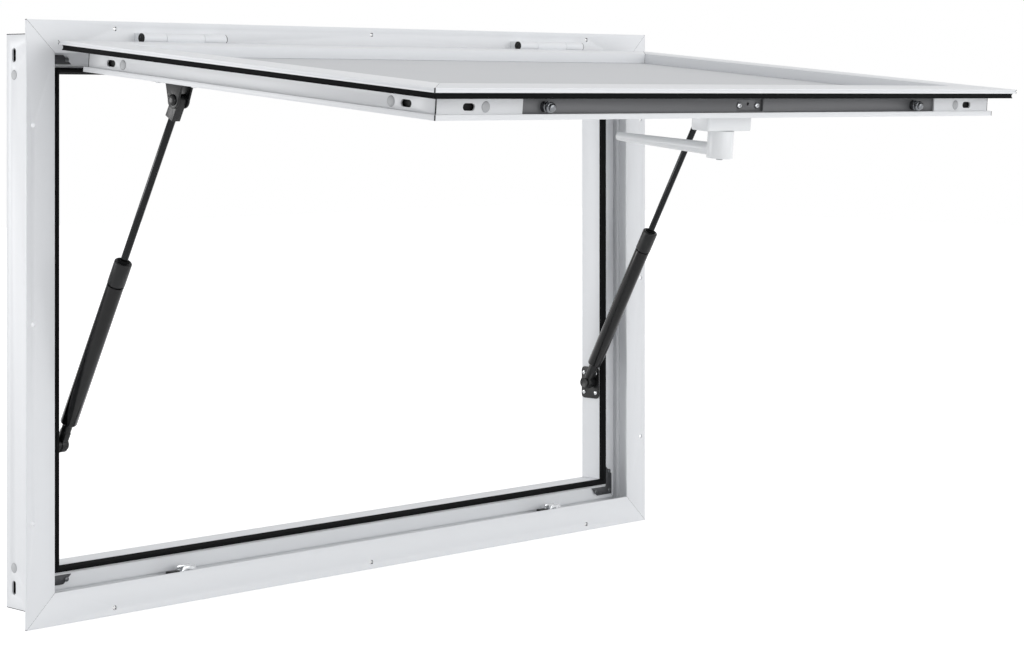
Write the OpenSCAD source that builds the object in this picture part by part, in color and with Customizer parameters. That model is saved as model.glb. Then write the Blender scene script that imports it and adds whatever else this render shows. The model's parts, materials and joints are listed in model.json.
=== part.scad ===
// Concession window: an aluminium flanged frame with a top-hung serving leaf on two gas struts.
// X runs along the window, Y into the wall, Z up. The origin lies on the back face of the flange,
// in the middle of the sill. Leaf pieces are drawn closed and then swung open about the hinge axis.

/* [Frame] */
// Width of the box, which goes through the cut-out in the wall
cut_w = 914; // [780:1:1500]
// Height of the box
cut_h = 610; // [560:1:900]
// How far the flange reaches past the box
flange_over = 14.5; // [13.5:0.5:18]
// Width of the flange, seen from the front
flange_w = 34.5; // [32:0.5:37]
// Thickness of the flange
flange_t = 2.5; // [2:0.1:3.5]
// Depth of the frame behind the flange
frame_d = 57.5; // [56:0.5:90]
// Wall thickness of the extrusions
wall_t = 2; // [1.5:0.1:2.5]
// Gap left in each mitre joint
mitre_gap = 0.15; // [0.05:0.05:0.3]
// Diameter of the screw holes in the flange
hole_d = 5; // [3:0.5:6]
// Distance of the screw holes from the edge of the flange
hole_in = 8; // [6:0.5:9]
// Distance of the end holes in head and sill from the corner of the flange
hole_corner_x = 110; // [60:1:160]
// Distance of the end holes in the jambs from the corner of the flange
hole_corner_z = 111; // [60:1:160]

/* [Rebate] */
// Distance of the rebate wall from the flange edge
rebate_in = 28; // [26:0.5:30]
// Depth of the ledge that carries the seal, behind the flange
ledge_y = 25.5; // [24:0.5:30]
// Distance of the clear opening from the flange edge
reveal_in = 57; // [52:0.5:64]
// Depth of the groove along the rebate wall
wall_groove_y = 17.1; // [14:0.1:18]
// Width of the groove along the rebate wall
wall_groove_w = 2.3; // [1:0.1:3]
// Depth of the groove into the rebate wall
wall_groove_d = 1; // [0.5:0.1:1.5]
// Height of the rib behind that groove
wall_rib_t = 1; // [0.5:0.1:2]
// Width of the rib behind that groove
wall_rib_w = 4; // [2:0.5:5]
// Width of the groove in the ledge
ledge_groove_w = 3.6; // [2:0.1:5]
// Depth of the groove in the ledge
ledge_groove_d = 3; // [1:0.5:4]
// Distance of the fine rib on the ledge from the flange edge
ledge_rib_in = 46.8; // [46.6:0.1:48]
// Width of that rib
ledge_rib_w = 1.4; // [0.8:0.1:2]
// Height of that rib
ledge_rib_t = 1; // [0.5:0.1:2]
// Width of the frame seal
seal_w = 7.4; // [6.8:0.1:8]
// Overhang of the frame seal past the reveal
seal_over = 0.4; // [0:0.1:0.6]
// Radius of the bulb of the frame seal
seal_bulb_r = 2.4; // [2:0.1:2.6]
// Distance of the middle of the bulb from the outer edge of the seal
seal_bulb_in = 2.9; // [2.7:0.1:3.2]
// Angle at which the inner flank of the seal leans
seal_flank_a = 23; // [15:1:30]
// Air left between a seal and the face that shuts on it
seal_gap = 0.3; // [0.1:0.1:0.6]

/* [Corner plates and slots] */
// Width of the arms of the corner plates
corner_w = 10; // [8:0.5:12]
// Length of the arms of the corner plates
corner_l = 36; // [25:1:50]
// Thickness of the corner plates
corner_t = 2; // [1:0.5:3]
// Distance of the corner plates from the rebate wall
corner_in = 8.5; // [5:0.5:10]
// Length of the fixing slots in the extrusions
slot_l = 15; // [10:0.5:20]
// Width of the fixing slots
slot_w = 7; // [5:0.5:9]
// Distance of the frame slots from the end of the box
slot_frame = 22.5; // [15:0.5:30]
// Distance of the leaf slots from the corner of the leaf
slot_leaf = 63.5; // [55:0.5:90]
// Distance from the middle of a slot to the middle of its plug
slot_to_plug = 21; // [16:0.5:30]
// Diameter of the round plugs
plug_d = 10.5; // [8:0.5:12]
// How far a plug stands proud
plug_proud = 0.4; // [0.2:0.1:1]
// Play of a plug in its hole
plug_play = 0.1; // [0.05:0.05:0.2]

/* [Leaf] */
// Angle at which the leaf stands open
open_a = 85; // [60:1:90]
// Distance of the leaf edge from the flange edge
leaf_in = 25; // [20:0.5:28]
// Thickness of the rim of the leaf
rim_t = 4.4; // [3:0.1:6]
// Thickness of the whole leaf
leaf_t = 31.3; // [30:0.1:33]
// Width of the leaf rails
rail_w = 54.5; // [50:0.5:70]
// Distance of the leaf body from the leaf edge
body_in = 23; // [22:0.5:26]
// Distance of the inner lip from the leaf edge
lip_in = 19; // [17:0.5:21]
// Thickness of the inner lip
lip_t = 5.3; // [4:0.1:6]
// Depth of the panel below the face of the rails
tray_d = 12; // [9:0.5:12]
// Height of the inner bead that holds the panel
bead_t = 1.8; // [1:0.1:3]
// How far the beads cover the edge of the panel
bead_cover = 6; // [4:0.5:8]
// Play between the panel and its beads
panel_play = 0.1; // [0.05:0.05:0.3]
// Distance of the leaf seal from the leaf edge
leaf_seal_in = 2.6; // [1:0.1:5]
// Width of the leaf seal
leaf_seal_w = 12; // [8:0.5:15]
// Thickness of the leaf seal
leaf_seal_t = 5.7; // [4:0.1:6.5]
// Depth of the fine groove along the leaf edge
edge_groove_d = 0.6; // [0.3:0.1:1]
// Width of the fine groove along the leaf edge
edge_groove_w = 1.3; // [0.6:0.1:1.6]

/* [Hinges] */
// Distance of the hinge axis in front of the leaf face
hinge_out = 3.5; // [2.5:0.1:5]
// Height of the hinge axis above the leaf edge
hinge_up = 7.2; // [6.8:0.1:9]
// Distance of the middle of each hinge from the end of the flange
hinge_in = 190; // [130:1:230]
// Length of the hinge barrel
barrel_l = 110; // [80:1:140]
// Radius of the hinge barrel
barrel_r = 5.5; // [5:0.1:6]
// Length of the middle knuckle, on the leaf
knuckle_l = 50; // [30:1:60]
// Gap between two knuckles
knuckle_gap = 0.5; // [0.3:0.1:1]
// Radius of the hinge pin
pin_r = 2.5; // [2:0.1:3]
// Running play of a pin in its bore
pin_play = 0.05; // [0.02:0.01:0.1]
// How far the pin ends lie inside the barrel
pin_recess = 2; // [1:0.5:4]
// Thickness of the hinge plate on the flange
hinge_plate_t = 2.5; // [2:0.1:4]
// Height of the hinge plate below the hinge axis
hinge_plate_dn = 4; // [3:0.5:5]

/* [Struts] */
// Distance of the strut from the reveal wall
strut_in = 12; // [12:0.5:16]
// Distance of the upper pivot from the top edge of the leaf
strut_s = 154.5; // [120:0.5:170]
// Height of the upper pivot over the inner face of the leaf
strut_out = 18; // [17:0.1:22]
// Distance of the lower pivot below the top edge of the leaf
strut_drop = 430; // [400:0.5:450]
// Depth of the lower pivot behind the ledge
strut_back = 12; // [11:0.5:15]
// Radius of the rod
rod_r = 4; // [3:0.1:4.5]
// Radius of the tube
tube_r = 9.1; // [8:0.1:9.1]
// Length of the tube with its cap
tube_l = 204; // [185:1:215]
// Wall of the tube
tube_wall = 1.2; // [0.8:0.1:2]
// Radius of the cap on the tube
cap_r = 9.4; // [9.2:0.1:9.6]
// Length of the cap
cap_l = 27; // [15:1:40]
// Edge rounding of the cap
cap_edge_r = 1.6; // [0.5:0.1:2.5]
// Distance from the lower pivot to the tube
eye_l = 28; // [24:0.1:32]
// Length of rod that stays inside the tube when the leaf is open
rod_in = 20; // [10:1:30]
// Length of the rod end block from its pivot
block_l = 21.5; // [15:0.5:25]
// Width of the rod end block along the pin
block_w = 10; // [9:0.5:11]
// Radius of the rod end block about its pin
block_r = 6.5; // [5:0.1:7]
// Side gap of the rod end block between its ears
block_gap = 0.4; // [0.2:0.1:0.6]
// Thickness of the ears of the upper bracket
ear_t = 2.2; // [1.5:0.1:2.5]
// Radius of the ears about the pin
ear_r = 8.8; // [7:0.1:9.5]
// Width of the ears at their foot
ear_foot_w = 29; // [20:0.5:34]
// Thickness of the plate of the upper bracket
top_plate_t = 2; // [1.5:0.1:3]
// Width of the plate of the upper bracket
top_plate_w = 17; // [16:0.5:18]
// Corner radius of that plate
top_plate_r = 6; // [2:0.5:7]
// Reach of that plate towards the hinge
top_plate_up = 43; // [20:1:50]
// Reach of that plate away from the hinge
top_plate_dn = 31; // [20:1:40]
// Radius of the upper strut pin
top_pin_r = 3; // [2:0.1:3.5]
// Radius of the heads of the upper strut pin
top_head_r = 5.9; // [4.5:0.1:7]
// Thickness of those heads
top_head_t = 2.8; // [1:0.1:3]
// Thickness of the eye at the lower end of the strut
eye_t = 6.5; // [5:0.5:8]
// Radius of that eye
eye_r = 8.3; // [7:0.1:9]
// Radius of the neck between eye and tube
neck_r = 5.5; // [4:0.1:6]
// Radius of the post beside the eye
post_r = 7; // [5:0.1:7.5]
// Radius of the head of the lower strut pin
low_head_r = 6.3; // [5.5:0.1:7]
// Thickness of that head
low_head_t = 2.5; // [2:0.1:4]
// Gap at the lower pin, where the closed linkage is opened
low_gap = 0.4; // [0.3:0.1:0.6]
// Thickness of the plate of the lower bracket
low_plate_t = 1.8; // [1.5:0.1:1.9]
// Reach of that plate above the pivot
low_plate_up = 19; // [15:1:30]
// Reach of that plate below the pivot
low_plate_dn = 22; // [15:1:30]
// Greatest depth of that plate
low_plate_w = 31; // [20:0.5:31]
// Distance of that plate from the edges of the reveal
low_plate_in = 0.5; // [0.2:0.1:2]
// Corner radius of that plate
low_plate_r = 5; // [2:0.5:8]

/* [Lock] */
// Travel of the lock bar
lock_travel = 22; // [16:0.5:24]
// Distance of the studs from the ends of the opening in the bottom rail
stud_in = 33.5; // [30:0.5:60]
// Distance of the ends of that opening from the corners of the leaf
lock_win_in = 128; // [127:1:160]
// Offset of that opening to the right
lock_win_x = 3.5; // [0:0.5:5]
// Thickness of the lock bar
bar_t = 3; // [2:0.5:4]
// Side play of the lock bar
bar_play = 0.3; // [0.2:0.1:0.5]
// How far the bar reaches past its opening
bar_over = 3; // [2:0.5:6]
// Width of the notch over the drive plate
notch_w = 42; // [36:1:50]
// Height of the bar left under the notch
notch_rest = 1.4; // [1:0.1:3]
// Offset of the drive plate and its notch to the right
drive_off = 10.5; // [0:0.5:14]
// Width of the drive plate
drive_w = 65; // [56:1:80]
// Thickness of the drive plate
drive_t = 2; // [1:0.5:3]
// Radius of the roller on each stud
stud_r = 5.3; // [3:0.1:5.6]
// Radius of the stud head
stud_head_r = 4; // [3.5:0.1:4.2]
// Thickness of the stud head
stud_head_t = 3; // [2:0.5:4]
// Distance of the end of the stud from the leaf edge
stud_end = 12; // [11.5:0.5:14]
// Length of the keepers
keeper_l = 20; // [16:1:22]
// Thickness of the keeper sheet
keeper_t = 1.2; // [1:0.1:1.4]
// Height of the keepers over the sill
keeper_h = 11; // [9:0.5:11.5]
// Gap between the stud head and the walls of the keeper
keeper_gap = 1; // [0.8:0.1:1.2]
// Length of the dark guide blocks
guide_l = 14; // [10:0.5:14]
// Height of the dark guide blocks
guide_h = 7.4; // [5:0.1:7.5]

/* [Handle] */
// Width of the handle base
base_w = 68; // [50:1:80]
// Depth of the handle base
base_h = 24.5; // [20:0.5:26]
// Thickness of the handle base
base_t = 15.9; // [12:0.1:18]
// Corner radius of the handle base
base_r = 3; // [1:0.5:6]
// Distance of the handle axis from the bottom edge of the leaf
handle_s = 53; // [52:0.5:60]
// Radius of the hub
hub_r = 13.7; // [11:0.1:14]
// Height of the hub
hub_h = 28.4; // [22:0.2:30]
// Gap between hub and base
hub_gap = 0.3; // [0.2:0.1:0.5]
// Radius of the spindle of the hub in the base
spindle_r = 5; // [3:0.1:6]
// Length of the spindle in the base
spindle_l = 10; // [6:0.5:11]
// Length of the lever from the axis
lever_l = 148; // [100:1:160]
// Radius of the lever at the hub
lever_r = 7; // [5:0.1:8]
// Radius of the lever at its tip
lever_tip_r = 4.6; // [3:0.1:6]
// Distance of the lever from the end of the hub
lever_in = 8.4; // [8.2:0.1:10]
// Radius of the cap on the hub
hub_cap_r = 3.5; // [2:0.1:5]
// Height of the cap on the hub
hub_cap_h = 2; // [1:0.1:3]

/* [Hidden] */
$fn = 64;
// One overrun for every cut
over = wall_t / 2;
// Whole size of the flange and the places of its edges
full_w = cut_w + 2 * flange_over;
full_h = cut_h + 2 * flange_over;
z_low = -(hole_in + hole_d / 2 + flange_over) / 2;
z_high = z_low + full_h;
z_mid = z_low + full_h / 2;
cut_l = 4 * frame_d;
// Leaf, drawn closed
leaf_w = full_w - 2 * leaf_in;
leaf_h = full_h - 2 * leaf_in;
leaf_y = -flange_t - seal_gap - leaf_seal_t - rim_t;
leaf_back = leaf_y + leaf_t;
leaf_top = z_high - leaf_in;
leaf_low = z_low + leaf_in;
pocket_in = rail_w - bead_cover;
chamber_in = body_in + wall_t;
bar_y0 = tray_d - bar_play / 3;
bar_y1 = leaf_t - lip_t + bar_play * 2;
bar_mid = (bar_y0 + bar_y1) / 2;
// Hinge axis
hinge_y = leaf_y - hinge_out;
hinge_z = leaf_top + hinge_up;
hinge_x = full_w / 2 - hinge_in;
// Struts: both pivots, closed and open
strut_x = full_w / 2 - reveal_in - strut_in;
top_rel = [leaf_back + strut_out - hinge_y, -strut_s - hinge_up];
function turned(p, a) = [p[0] * cos(a) - p[1] * sin(a), p[0] * sin(a) + p[1] * cos(a)];
top_open = turned(top_rel, -open_a) + [hinge_y, hinge_z];
low_at = [ledge_y + strut_back, leaf_top - strut_drop];
strut_v = low_at - top_open;
strut_len = norm(strut_v);
strut_a = atan2(strut_v[0], -strut_v[1]);
tube_at = strut_len - eye_l - tube_l;
// Lock
lock_win_l = leaf_w - 2 * lock_win_in;
stud_x = lock_win_l / 2 - stud_in;
stud_y = leaf_y + bar_mid;
bar_in = chamber_in + bar_play;
floor_z = z_low + rebate_in;

// A profile with its inset along x and its depth along y, made into one mitred side
module mitred(len, reach, gap = mitre_gap) {
    intersection() {
        rotate([0, -90, 0]) linear_extrude(len, center = true) children();
        rotate([90, 0, 0]) linear_extrude(cut_l, center = true)
            polygon([[gap - len / 2, 0], [len / 2 - gap, 0],
                [len / 2 - reach - gap, reach], [reach + gap - len / 2, reach]]);
    }
}
// The four places of a side round a rectangle of width w and height h
module at_low(h) { translate([0, 0, z_mid - h / 2]) children(); }
module at_top(h) { translate([0, 0, z_mid + h / 2]) mirror([0, 0, 1]) children(); }
module at_left(w) { translate([-w / 2, 0, z_mid]) rotate([0, 90, 0]) children(); }
module at_right(w) { translate([w / 2, 0, z_mid]) rotate([0, -90, 0]) children(); }
// A rectangular ring of two insets and two depths
module ring(w, h, in0, in1, y0, y1) {
    translate([0, y0, z_mid - h / 2]) difference() {
        translate([in0 - w / 2, 0, in0]) cube([w - 2 * in0, y1 - y0, h - 2 * in0]);
        translate([in1 - w / 2, -over, in1]) cube([w - 2 * in1, y1 - y0 + 2 * over, h - 2 * in1]);
    }
}
module rod_x(r, l) { rotate([0, 90, 0]) cylinder(r = r, h = l, center = true); }
module rod_y(r, l) { rotate([-90, 0, 0]) cylinder(r = r, h = l); }
// Swings what is drawn closed to the open place
module opened() {
    translate([0, hinge_y, hinge_z]) rotate([-open_a, 0, 0])
        translate([0, -hinge_y, -hinge_z]) children();
}

// Frame extrusion: flange, rebate wall with its groove and rib, ledge and reveal
module frame_profile() {
    rib_y = wall_groove_y + wall_groove_w;
    difference() {
        polygon([[0, -flange_t], [flange_w, -flange_t], [flange_w, 0], [rebate_in, 0],
            [rebate_in, wall_groove_y], [rebate_in - wall_groove_d, wall_groove_y],
            [rebate_in - wall_groove_d, rib_y], [rebate_in + wall_rib_t, rib_y],
            [rebate_in + wall_rib_t, rib_y + wall_rib_w], [rebate_in, rib_y + wall_rib_w],
            [rebate_in, ledge_y + ledge_groove_d],
            [rebate_in + ledge_groove_w, ledge_y + ledge_groove_d],
            [rebate_in + ledge_groove_w, ledge_y], [ledge_rib_in, ledge_y],
            [ledge_rib_in, ledge_y - ledge_rib_t], [ledge_rib_in + ledge_rib_w, ledge_y - ledge_rib_t],
            [ledge_rib_in + ledge_rib_w, ledge_y], [reveal_in, ledge_y], [reveal_in, frame_d],
            [flange_over, frame_d], [flange_over, 0], [0, 0]]);
        translate([flange_over + wall_t, wall_t])
            square([rebate_in - wall_groove_d - flange_over - 2 * wall_t, ledge_y - wall_t]);
        translate([flange_over + wall_t, ledge_y + ledge_groove_d + wall_t])
            square([reveal_in - flange_over - 2 * wall_t,
                frame_d - ledge_y - ledge_groove_d - 2 * wall_t]);
    }
}
module flange_holes_x(z) {
    for (x = [-1, 0, 1])
        translate([x * (full_w / 2 - hole_corner_x), -flange_t - over, z])
            rod_y(hole_d / 2, flange_t + 2 * over);
}
module flange_holes_z(x) {
    for (k = [-1, 0, 1])
        translate([x, -flange_t - over, z_mid + k * (full_h / 2 - hole_corner_z)])
            rod_y(hole_d / 2, flange_t + 2 * over);
}
// A slot that runs along z, cut through a wall along x
module slot_cut(depth) {
    cube([depth, slot_w, slot_l - slot_w], center = true);
    for (k = [-1, 1]) translate([0, 0, k * (slot_l - slot_w) / 2]) rod_x(slot_w / 2, depth);
}
frame_slot_y = (ledge_y + frame_d) / 2 + wall_t;
module jamb_cuts(side) {
    for (k = [-1, 1]) {
        translate([side * cut_w / 2, frame_slot_y, z_mid + k * (cut_h / 2 - slot_frame)])
            slot_cut(2 * (wall_t + over));
        translate([side * cut_w / 2, frame_slot_y, z_mid + k * (cut_h / 2 - slot_frame - slot_to_plug)])
            rod_x(plug_d / 2 + plug_play, 2 * (wall_t + over));
    }
}
module frame_head() {
    color("white") difference() {
        at_top(full_h) mitred(full_w, reveal_in) frame_profile();
        flange_holes_x(z_high - hole_in);
    }
}
module frame_sill() {
    color("white") difference() {
        at_low(full_h) mitred(full_w, reveal_in) frame_profile();
        flange_holes_x(z_low + hole_in);
    }
}
module frame_jamb_left() {
    color("white") difference() {
        at_left(full_w) mitred(full_h, reveal_in) frame_profile();
        flange_holes_z(hole_in - full_w / 2);
        jamb_cuts(-1);
    }
}
module frame_jamb_right() {
    color("white") difference() {
        at_right(full_w) mitred(full_h, reveal_in) frame_profile();
        flange_holes_z(full_w / 2 - hole_in);
        jamb_cuts(1);
    }
}
// Frame seal: a foot on the ledge that rises to a round bulb
seal_end = reveal_in + seal_over;
module seal_profile() {
    bulb = [seal_end - seal_w + seal_bulb_in, leaf_back + seal_gap + seal_bulb_r];
    flank = bulb + seal_bulb_r * [cos(seal_flank_a), -sin(seal_flank_a)];
    polygon([[seal_end - seal_w, ledge_y], [seal_end, ledge_y], flank, bulb,
        [bulb[0] - seal_bulb_r, bulb[1]]]);
    translate(bulb) circle(r = seal_bulb_r);
}
module frame_seal() {
    color("black") {
        at_top(full_h) mitred(full_w, seal_end, 0) seal_profile();
        at_low(full_h) mitred(full_w, seal_end, 0) seal_profile();
        at_left(full_w) mitred(full_h, seal_end, 0) seal_profile();
        at_right(full_w) mitred(full_h, seal_end, 0) seal_profile();
    }
}
module corner_plate() {
    rotate([90, 0, 0]) linear_extrude(corner_t)
        polygon([[0, 0], [corner_l - corner_w, 0], [corner_l, corner_w], [corner_w, corner_w],
            [corner_w, corner_l], [0, corner_l - corner_w]]);
}
module corner_plates() {
    corner_at = rebate_in + corner_in;
    color("gray") for (sx = [0, 1]) for (sz = [0, 1])
        mirror([sx, 0, 0]) translate([0, ledge_y, z_mid]) mirror([0, 0, sz])
            translate([corner_at - full_w / 2, 0, corner_at - full_h / 2]) corner_plate();
}
module plug() {
    rod_x(plug_d / 2, wall_t);
    translate([wall_t / 2, 0, 0]) rod_x(plug_d / 2 - plug_proud, 2 * plug_proud);
}
module frame_plugs() {
    color("lightgray") for (sx = [0, 1]) for (k = [-1, 1])
        mirror([sx, 0, 0]) translate([cut_w / 2 - wall_t / 2, frame_slot_y,
            z_mid + k * (cut_h / 2 - slot_frame - slot_to_plug)]) plug();
}

// Keeper: a folded sheet on the sill, with one wall before the stud head and one behind it. Each
// wall starts low on the side where the stud comes in
keeper_shares = [0, 0.2, 0.4];
module keeper_wall() {
    rotate([90, 0, 0]) mirror([0, 0, 1]) linear_extrude(keeper_t)
        polygon([[0, 0], [keeper_l, 0], [keeper_l, keeper_h], [keeper_l * keeper_shares[1], keeper_h],
            [0, keeper_h * keeper_shares[2]]]);
}
module keeper(x) {
    half = stud_head_r + keeper_gap;
    translate([x - keeper_l / 2, stud_y, floor_z]) difference() {
        union() {
            translate([0, -half - keeper_t, 0]) keeper_wall();
            translate([0, half, 0]) keeper_wall();
            translate([0, -half - keeper_t, 0]) cube([keeper_l, 2 * (half + keeper_t), keeper_t]);
        }
        translate([keeper_l / 2, -half - keeper_t - over, keeper_h / 2])
            rod_y(keeper_l / 10, keeper_t + 2 * over);
    }
}
lock_left = lock_travel - stud_x;
lock_right = lock_travel + stud_x;
module keeper_left() { color("silver") keeper(lock_left); }
module keeper_right() { color("silver") keeper(lock_right); }
module keeper_guides() {
    color("black") for (x = [lock_left, lock_right])
        translate([x - keeper_l / 2 - guide_l, stud_y - stud_head_r - keeper_gap, floor_z])
            cube([guide_l, 2 * stud_head_r, guide_h]);
}

// Hinges: two knuckles stand on the plate, the middle one is on the leaf
module hinge_plate(x) {
    end_l = (barrel_l - knuckle_l) / 2 - knuckle_gap;
    difference() {
        translate([x, hinge_y, hinge_z]) union() {
            for (k = [-1, 1]) translate([k * (barrel_l - end_l) / 2, 0, 0]) {
                rod_x(barrel_r, end_l);
                translate([-end_l / 2, 0, -hinge_plate_dn])
                    cube([end_l, -flange_t - hinge_y, hinge_plate_dn + barrel_r]);
            }
            translate([-barrel_l / 2, -flange_t - hinge_y - hinge_plate_t, -hinge_plate_dn])
                cube([barrel_l, hinge_plate_t, hinge_plate_dn + barrel_r]);
        }
        translate([x, hinge_y, hinge_z]) rod_x(pin_r + pin_play, barrel_l + 2 * over);
    }
}
module hinge_plate_left() { color("white") hinge_plate(-hinge_x); }
module hinge_plate_right() { color("white") hinge_plate(hinge_x); }
module hinge_pin(x) { translate([x, hinge_y, hinge_z]) rod_x(pin_r, barrel_l - 2 * pin_recess); }
module hinge_pin_left() { color("dimgray") hinge_pin(-hinge_x); }
module hinge_pin_right() { color("dimgray") hinge_pin(hinge_x); }
module hinge_knuckle(x) {
    opened() difference() {
        union() {
            translate([x, hinge_y, hinge_z]) rod_x(barrel_r, knuckle_l);
            translate([x - knuckle_l / 2, leaf_y, leaf_top])
                cube([knuckle_l, rim_t, hinge_up - pin_r]);
        }
        translate([x, hinge_y, hinge_z]) rod_x(pin_r + pin_play, knuckle_l + 2 * over);
    }
}
module hinge_knuckle_left() { color("white") hinge_knuckle(-hinge_x); }
module hinge_knuckle_right() { color("white") hinge_knuckle(hinge_x); }

// Leaf extrusion: rim, body wall, inner lip and the pocket for the panel
module leaf_profile() {
    groove_y = (rim_t - edge_groove_w) / 2 - edge_groove_d / 2;
    difference() {
        polygon([[0, 0], [rail_w, 0], [rail_w, tray_d], [pocket_in, tray_d],
            [pocket_in, leaf_t - bead_t], [rail_w, leaf_t - bead_t], [rail_w, leaf_t],
            [lip_in, leaf_t], [lip_in, leaf_t - lip_t], [body_in, leaf_t - lip_t],
            [body_in, rim_t], [0, rim_t], [0, groove_y + edge_groove_w],
            [edge_groove_d, groove_y + edge_groove_w], [edge_groove_d, groove_y], [0, groove_y]]);
        translate([chamber_in, wall_t])
            square([rail_w - chamber_in - wall_t, bar_y0 - 2 * wall_t]);
        translate([chamber_in, bar_y0]) square([pocket_in - chamber_in - wall_t, bar_y1 - bar_y0]);
    }
}
module leaf_side_cuts(side) {
    for (k = [-1, 1]) {
        translate([side * (leaf_w / 2 - body_in), leaf_y + bar_mid, z_mid + k * (leaf_h / 2 - slot_leaf)])
            slot_cut(2 * (wall_t + over));
        translate([side * (leaf_w / 2 - body_in), leaf_y + bar_mid,
            z_mid + k * (leaf_h / 2 - slot_leaf - slot_to_plug)])
            rod_x(plug_d / 2 + plug_play, 2 * (wall_t + over));
    }
}
module leaf_end_cuts(side) {
    for (k = [-1, 1]) {
        translate([k * (leaf_w / 2 - slot_leaf), leaf_y + bar_mid, z_mid + side * (leaf_h / 2 - body_in)])
            rotate([0, 90, 0]) slot_cut(2 * (wall_t + over));
        translate([k * (leaf_w / 2 - slot_leaf - slot_to_plug), leaf_y + bar_mid,
            z_mid + side * (leaf_h / 2 - body_in)])
            rotate([0, 90, 0]) rod_x(plug_d / 2 + plug_play, 2 * (wall_t + over));
    }
}
module leaf_rail_top() {
    color("white") opened() difference() {
        translate([0, leaf_y, 0]) at_top(leaf_h) mitred(leaf_w, rail_w) leaf_profile();
        leaf_end_cuts(1);
    }
}
module leaf_rail_bottom() {
    color("white") opened() difference() {
        translate([0, leaf_y, 0]) at_low(leaf_h) mitred(leaf_w, rail_w) leaf_profile();
        leaf_end_cuts(-1);
        translate([lock_win_x - lock_win_l / 2, leaf_y + bar_y0, leaf_low + body_in - over])
            cube([lock_win_l, bar_y1 - bar_y0, wall_t + 2 * over]);
    }
}
module leaf_rail_left() {
    color("white") opened() difference() {
        translate([0, leaf_y, 0]) at_left(leaf_w) mitred(leaf_h, rail_w) leaf_profile();
        leaf_side_cuts(-1);
    }
}
module leaf_rail_right() {
    color("white") opened() difference() {
        translate([0, leaf_y, 0]) at_right(leaf_w) mitred(leaf_h, rail_w) leaf_profile();
        leaf_side_cuts(1);
    }
}
module leaf_panel() {
    edge = pocket_in + panel_play;
    color("lightgray") opened()
        translate([edge - leaf_w / 2, leaf_y + tray_d + panel_play, leaf_low + edge])
            cube([leaf_w - 2 * edge, leaf_t - bead_t - tray_d - 2 * panel_play, leaf_h - 2 * edge]);
}
module leaf_seal() {
    color("black") opened() ring(leaf_w, leaf_h, leaf_seal_in, leaf_seal_in + leaf_seal_w,
        leaf_y + rim_t, leaf_y + rim_t + leaf_seal_t);
}
module leaf_plugs() {
    plug_in = slot_leaf + slot_to_plug;
    color("lightgray") opened() {
        for (sx = [0, 1]) for (k = [-1, 1])
            mirror([sx, 0, 0]) translate([leaf_w / 2 - body_in - wall_t / 2, leaf_y + bar_mid,
                z_mid + k * (leaf_h / 2 - plug_in)]) plug();
        for (kx = [-1, 1]) for (sz = [-1, 1])
            translate([kx * (leaf_w / 2 - plug_in), leaf_y + bar_mid,
                z_mid + sz * (leaf_h / 2 - body_in - wall_t / 2)])
                rotate([0, -90 * sz, 0]) plug();
    }
}

// Upper strut bracket: a plate on the inner face of the leaf with two tapered ears
top_y = leaf_back + strut_out;
top_z = leaf_top - strut_s;
ear_x = block_w / 2 + block_gap;
module leaf_bracket(x) {
    opened() difference() {
        union() {
            translate([x - top_plate_w / 2, leaf_back, top_z - top_plate_dn])
                rotate([90, 0, 0]) mirror([0, 0, 1])
                    rounded(top_plate_w, top_plate_up + top_plate_dn, top_plate_t, top_plate_r);
            for (k = [-1, 1]) translate([x + k * (ear_x + ear_t / 2), 0, top_z]) {
                translate([0, top_y, 0]) rod_x(ear_r, ear_t);
                rotate([0, -90, 0]) linear_extrude(ear_t, center = true)
                    polygon([[-ear_foot_w / 2, leaf_back], [ear_foot_w / 2, leaf_back],
                        [ear_r, top_y], [-ear_r, top_y]]);
            }
        }
        translate([x, top_y, top_z]) rod_x(top_pin_r, top_plate_w + 2 * over);
    }
}
module strut_leaf_bracket_left() { color("dimgray") leaf_bracket(-strut_x); }
module strut_leaf_bracket_right() { color("dimgray") leaf_bracket(strut_x); }
module strut_top_pins() {
    color("dimgray") opened() for (x = [-strut_x, strut_x]) translate([x, top_y, top_z]) {
        rod_x(top_pin_r, 2 * (ear_x + ear_t));
        for (k = [-1, 1]) translate([k * (ear_x + ear_t + top_head_t / 2), 0, 0])
            rod_x(top_head_r, top_head_t);
    }
}

// Struts hang from the upper pin, along minus z
module on_strut(x) { translate([x, top_open[0], top_open[1]]) rotate([strut_a, 0, 0]) children(); }
module strut_rod_end(x) {
    on_strut(x) difference() {
        union() {
            rod_x(block_r, block_w);
            translate([-block_w / 2, -block_r, -block_l]) cube([block_w, 2 * block_r, block_l]);
        }
        rod_x(top_pin_r + pin_play, block_w + 2 * over);
        translate([0, 0, -block_l - over]) cylinder(r = rod_r, h = block_l / 2 + over);
    }
}
module strut_rod(x) {
    on_strut(x) translate([0, 0, -tube_at - rod_in])
        cylinder(r = rod_r, h = tube_at + rod_in - block_l / 2);
}
module strut_cap(x) {
    on_strut(x) translate([0, 0, -tube_at - cap_l]) difference() {
        rotate_extrude() {
            square([cap_r, cap_l - cap_edge_r]);
            square([cap_r - cap_edge_r, cap_l]);
            intersection() {
                translate([cap_r - cap_edge_r, cap_l - cap_edge_r]) circle(r = cap_edge_r);
                square([cap_r, cap_l]);
            }
        }
        translate([0, 0, -over]) cylinder(r = rod_r + pin_play, h = cap_l + 2 * over);
        translate([0, 0, -over]) cylinder(r = tube_r, h = cap_l / 2 + over);
    }
}
module strut_tube(x) {
    on_strut(x) translate([0, 0, -tube_at - tube_l]) difference() {
        cylinder(r = tube_r, h = tube_l - cap_l / 2);
        translate([0, 0, tube_wall]) cylinder(r = tube_r - tube_wall, h = tube_l);
    }
}
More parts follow.
